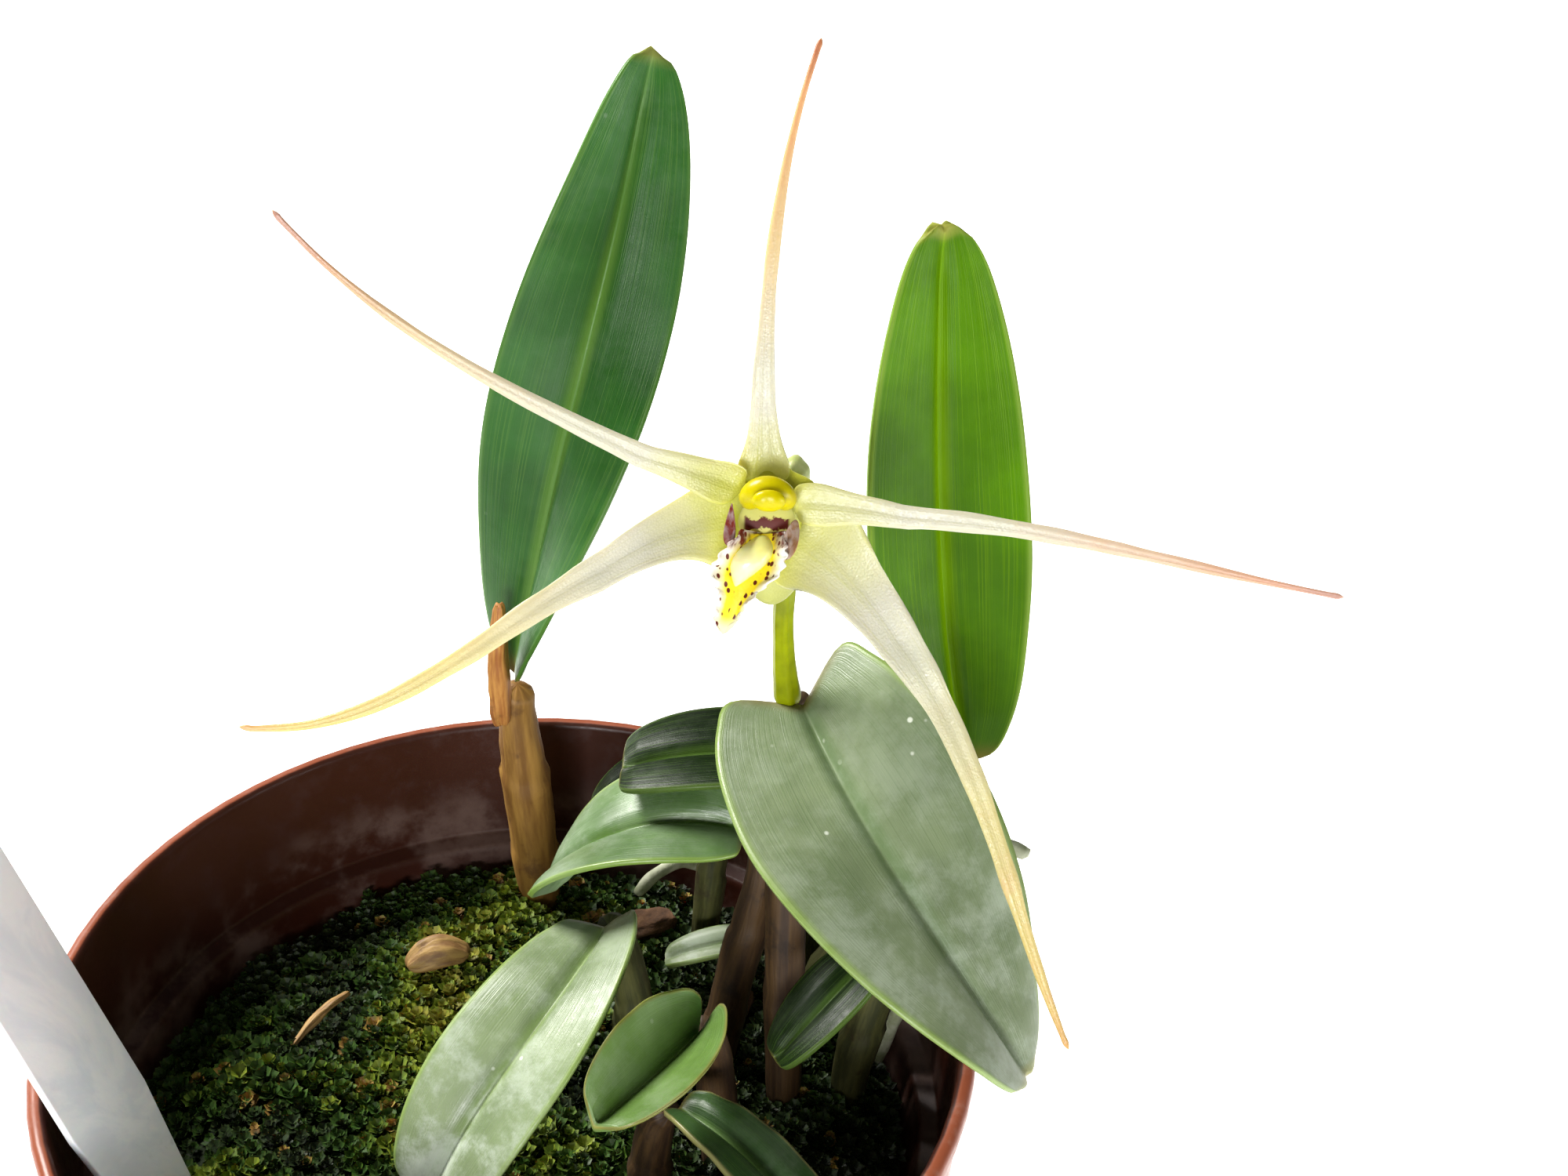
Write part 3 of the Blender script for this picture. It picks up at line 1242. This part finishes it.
    def stalk(self, settings):
        green = settings.stalk
        skin = self.wax(
            "stalk_skin", tuple(c * 0.75 for c in green), tuple(min(1, c * 1.15) for c in green), 0.34
        )

        def ridged(angle, share, points):
            return 0.07 * MM * np.cos(angle * 6) + 0.05 * MM * smooth_noise(points, 500)

        below = Vector(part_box("flower_stalk")[0])
        bm = stem_skin("flower_stalk", below, relief=ridged)
        for vert in bm.verts:
            vert.co.z -= 1.8 * MM * max(0, 1 - (vert.co.z - below.z) / (5 * MM))
        finish_piece("stalk", bm, skin, ["flower_stalk"])
        pale = self.wax("ovary_skin", (0.36, 0.42, 0.14), (0.52, 0.54, 0.3), 0.36)
        below = Vector(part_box("ovary")[0])
        bm = stem_skin("ovary", below, relief=ridged)
        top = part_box("ovary")[1][2]
        for vert in bm.verts:
            risen = max(0, 1 - (top - vert.co.z) / (7 * MM))
            vert.co += (self.ways[0] * 1.5 + self.ways[1] * 2.2) * MM * risen
        finish_piece("seed_pod", bm, pale, ["ovary"])


class ORCHID_OT_litter(bpy.types.Operator):
    """Bark chips, fallen bracts and the dry bract at the tall leaf's foot"""

    bl_idname = "orchid.litter"
    bl_label = "Litter"

    def execute(self, context):
        made, tree, shader = new_finish("bark_chip", 0.92)
        place = tree.place((1, 1, 2.4))
        rough = tree.noise(place, 420, 7, 0.7)
        tone = tree.ramp(
            rough, (0.3, (0.03, 0.014, 0.007)), (0.55, (0.13, 0.062, 0.028)), (0.75, (0.3, 0.17, 0.08))
        )
        tree.finish(shader, tone, None, rough, 0.6 * MM, 0.9)
        for number in range(1, 5):
            node = f"bark_chip_{number}"
            bm = merged_copy(node)
            bmesh.ops.subdivide_edges(bm, edges=bm.edges[:], cuts=3, use_grid_fill=True)
            middle = centre_of(node)
            for vert in bm.verts:
                away = (vert.co - middle).normalized()
                layers = sin(vert.co.z * 6200 + 3 * noise.noise(vert.co * 300))
                vert.co += away * (0.28 * MM * noise.noise(vert.co * 700) + 0.09 * MM * layers - 0.12 * MM)
            finish_piece(f"chip_{number}", bm, made, [node], radians(50))
        straw = papery_finish(
            "dry_straw", (0.2, 0.1, 0.03), (0.42, 0.26, 0.08), (0.1, 0.045, 0.015), 6, depth=0.3
        )
        rust = papery_finish(
            "rust_bract", (0.3, 0.1, 0.02), (0.55, 0.26, 0.06), (0.12, 0.04, 0.01), 7, depth=0.2
        )
        for node, finish in (("fallen_bract", straw), ("fallen_straw", straw), ("dry_bract", rust)):

            def curl(angle, share, points):
                return 0.12 * MM * np.cos(angle * 4) + 0.22 * MM * smooth_noise(points, 500)

            bm = stem_skin(node, Vector(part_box(node)[0]), 24, 40, curl)
            finish_piece(node + "_husk", bm, finish, [node])
        return {"FINISHED"}


class ORCHID_OT_stage(bpy.types.Operator):
    """A pale floor, soft lights and the camera"""

    bl_idname = "orchid.stage"
    bl_label = "Stage"

    def execute(self, context):
        bm = bmesh.new()
        bmesh.ops.create_grid(bm, x_segments=1, y_segments=1, size=12)
        mesh = bpy.data.meshes.new("floor")
        bm.to_mesh(mesh)
        bm.free()
        floor = bpy.data.objects.new("floor", mesh)
        made, _, shader = new_finish("pale_floor", 0.9)
        shader.inputs["Base Color"].default_value = (0.92, 0.92, 0.92, 1)
        shader.inputs["Emission Color"].default_value = (1, 1, 1, 1)
        shader.inputs["Emission Strength"].default_value = 0.8
        mesh.materials.append(made)
        context.scene.collection.objects.link(floor)
        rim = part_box("pot")[1][2]
        aim = Vector((0.01, 0, rim))
        self.light("window", aim + Vector((-0.4, 0.3, 0.5)), aim, 0.26, 11, (1, 0.98, 0.94))
        self.light(
            "front", aim + Vector((-0.12, -0.82, 0.18)), aim + Vector((0, 0, 0.03)), 0.3, 7.4, (1, 1, 1)
        )
        self.light(
            "side", aim + Vector((0.75, -0.35, 0.06)), aim + Vector((0, 0, 0.03)), 0.25, 3.2, (1, 1, 1)
        )
        world = bpy.data.worlds.new("studio")
        world.use_nodes = True
        world.node_tree.nodes["Background"].inputs[0].default_value = (1, 1, 1, 1)
        world.node_tree.nodes["Background"].inputs[1].default_value = 0.07
        context.scene.world = world
        context.scene.view_settings.view_transform = "Standard"
        self.camera(context, rim)
        return {"FINISHED"}

    def light(self, name, place, aim, size, power, tint):
        lamp = bpy.data.lights.new(name, "AREA")
        lamp.energy, lamp.size, lamp.color = power, size, tint
        made = bpy.data.objects.new(name, lamp)
        made.location = place
        made.rotation_euler = (aim - place).to_track_quat("-Z", "Y").to_euler()
        bpy.context.scene.collection.objects.link(made)

    def camera(self, context, rim):
        """Looks down across the pot from in front, leaning slightly to one side."""
        lens = bpy.data.cameras.new("camera")
        lens.lens, lens.sensor_width, lens.clip_start = 50, 36, 0.01
        made = bpy.data.objects.new("camera", lens)
        made.matrix_world = (
            Matrix.Translation(CAMERA_PLACE + Vector((0, 0, rim)))
            @ Matrix.Rotation(pi / 2 - CAMERA_DOWN, 4, "X")
            @ Matrix.Rotation(CAMERA_LEAN, 4, "Z")
        )
        context.scene.collection.objects.link(made)
        context.scene.camera = made


class ORCHID_PT_panel(bpy.types.Panel):
    """Builds each part of the orchid"""

    bl_label = "Orchid"
    bl_idname = "ORCHID_PT_panel"
    bl_space_type = "VIEW_3D"
    bl_region_type = "UI"
    bl_category = "Orchid"

    def draw(self, context):
        settings = context.scene.orchid
        for part, operators in (
            ("leaf", ("orchid.leaves", "orchid.stems")),
            ("flower", ("orchid.flower",)),
            ("moss", ("orchid.moss", "orchid.litter")),
            ("pot", ("orchid.pot", "orchid.label", "orchid.stage")),
        ):
            box = self.layout.box()
            group = getattr(settings, part)
            for key in group.bl_rna.properties.keys():
                if key not in ("rna_type", "name"):
                    box.prop(group, key)
            for name in operators:
                box.operator(name)


CLASSES = (
    OrchidLeafSettings,
    OrchidFlowerSettings,
    OrchidPotSettings,
    OrchidMossSettings,
    OrchidSettings,
    ORCHID_OT_pot,
    ORCHID_OT_label,
    ORCHID_OT_moss,
    ORCHID_OT_leaves,
    ORCHID_OT_stems,
    ORCHID_OT_flower,
    ORCHID_OT_litter,
    ORCHID_OT_stage,
    ORCHID_PT_panel,
)


def register():
    for made in CLASSES:
        bpy.utils.register_class(made)
    bpy.types.Scene.orchid = PointerProperty(type=OrchidSettings)


def unregister():
    del bpy.types.Scene.orchid
    for made in reversed(CLASSES):
        bpy.utils.unregister_class(made)


def main():
    register()
    for step in ("stage", "pot", "label", "moss", "leaves", "stems", "flower", "litter"):
        getattr(bpy.ops.orchid, step)()


if __name__ == "__main__":
    main()
